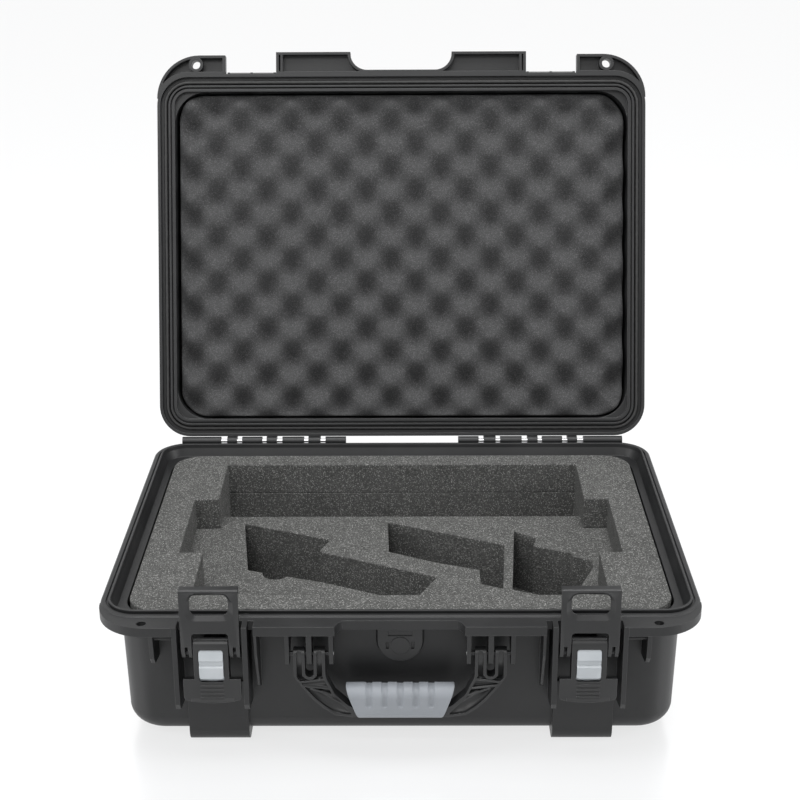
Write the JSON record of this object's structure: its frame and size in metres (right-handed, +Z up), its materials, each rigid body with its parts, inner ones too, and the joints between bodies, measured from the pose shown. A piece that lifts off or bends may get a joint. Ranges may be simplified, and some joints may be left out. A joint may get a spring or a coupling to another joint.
{
  "type": "microphone case",
  "caption": "Hard carrying case for a microphone kit, with a hinged lid, front latches, a folding handle, a pressure valve and cut foam inside.",
  "frame": {"origin": "On the floor plane that the feet stand on, midway between the two foot rails, under the middle of the rim where the lid and base meet.", "axes": "X runs to the case's right as seen from the front, Y from the latches towards the hinge, Z up from the feet."},
  "size_m": [0.502, 0.5718, 0.5088],
  "materials": {
    "shell_plastic": "fine moulded texture",
    "latch_plastic": "satin",
    "button_plastic": "satin",
    "grip_rubber": "soft matt",
    "seal_rubber": "matt",
    "pin_steel": "drawn",
    "membrane": "matt",
    "foam_base": "cut open-cell foam",
    "foam_lid": "convoluted open-cell foam"
  },
  "bodies": {
    "base": {"base_shell": "shell_plastic", "hinge_pin_left": "pin_steel", "hinge_pin_right": "pin_steel", "lever_pin_left": "pin_steel", "lever_pin_right": "pin_steel", "handle_pin_left": "pin_steel", "handle_pin_right": "pin_steel", "valve_cap": "latch_plastic", "valve_body": "latch_plastic", "valve_nut": "latch_plastic", "valve_seal": "seal_rubber", "valve_membrane": "membrane", "foam_base_pad": "foam_base", "foam_lower_layer": "foam_base", "foam_upper_layer": "foam_base"},
    "lid": {"lid_shell": "shell_plastic", "lid_gasket": "seal_rubber", "foam_lid": "foam_lid"},
    "handle": {"handle_frame": "latch_plastic", "handle_grip": "grip_rubber"},
    "lever_left": {"latch_lever_left": "latch_plastic", "button_spring_left": "pin_steel"},
    "lever_right": {"latch_lever_right": "latch_plastic", "button_spring_right": "pin_steel"},
    "button_left": {"latch_button_left": "button_plastic"},
    "button_right": {"latch_button_right": "button_plastic"},
    "claw_pin_left": {"claw_pin_left": "pin_steel"},
    "claw_pin_right": {"claw_pin_right": "pin_steel"},
    "claw_left": {"latch_claw_left": "latch_plastic"},
    "claw_right": {"latch_claw_right": "latch_plastic"}
  },
  "joints": [
    {"name": "lid_hinge", "type": "hinge", "parent": "base", "child": "lid", "pos_m": [0, 0.1913, 0.13], "axis": [1, 0, 0], "range_deg": [0, 108.7]},
    {"name": "handle_hinge", "type": "hinge", "parent": "base", "child": "handle", "pos_m": [0, -0.195, 0.1005], "axis": [1, 0, 0], "range_deg": [-88, 0]},
    {"name": "lever_left_hinge", "type": "hinge", "parent": "base", "child": "lever_left", "pos_m": [-0.1545, -0.1983, 0.1108], "axis": [1, 0, 0], "range_deg": [-75, 0]},
    {"name": "lever_right_hinge", "type": "hinge", "parent": "base", "child": "lever_right", "pos_m": [0.1545, -0.1983, 0.1108], "axis": [1, 0, 0], "range_deg": [-75, 0]},
    {"name": "button_left_slide", "type": "slide", "parent": "lever_left", "child": "button_left", "axis": [0, 0, -1], "range_m": [0, 0.003], "stiffness_N_per_m": 600, "springref_m": -0.001, "deforming": ["button_spring_left"]},
    {"name": "button_right_slide", "type": "slide", "parent": "lever_right", "child": "button_right", "axis": [0, 0, -1], "range_m": [0, 0.003], "stiffness_N_per_m": 600, "springref_m": -0.001, "deforming": ["button_spring_right"]},
    {"name": "claw_pin_left_turn", "type": "hinge", "parent": "lever_left", "child": "claw_pin_left", "pos_m": [-0.1545, -0.1975, 0.1025], "axis": [1, 0, 0], "range_deg": [0, 75]},
    {"name": "claw_pin_right_turn", "type": "hinge", "parent": "lever_right", "child": "claw_pin_right", "pos_m": [0.1545, -0.1975, 0.1025], "axis": [1, 0, 0], "range_deg": [0, 75]},
    {"name": "claw_left_hinge", "type": "hinge", "parent": "claw_pin_left", "child": "claw_left", "pos_m": [-0.1545, -0.1975, 0.1025], "axis": [1, 0, 0], "range_deg": [-10, 60]},
    {"name": "claw_right_hinge", "type": "hinge", "parent": "claw_pin_right", "child": "claw_right", "pos_m": [0.1545, -0.1975, 0.1025], "axis": [1, 0, 0], "range_deg": [-10, 60]}
  ],
  "couplings": [
    {"joint": "claw_pin_left_turn", "follows": "lever_left_hinge", "ratio": -1},
    {"joint": "claw_pin_right_turn", "follows": "lever_right_hinge", "ratio": -1}
  ]
}
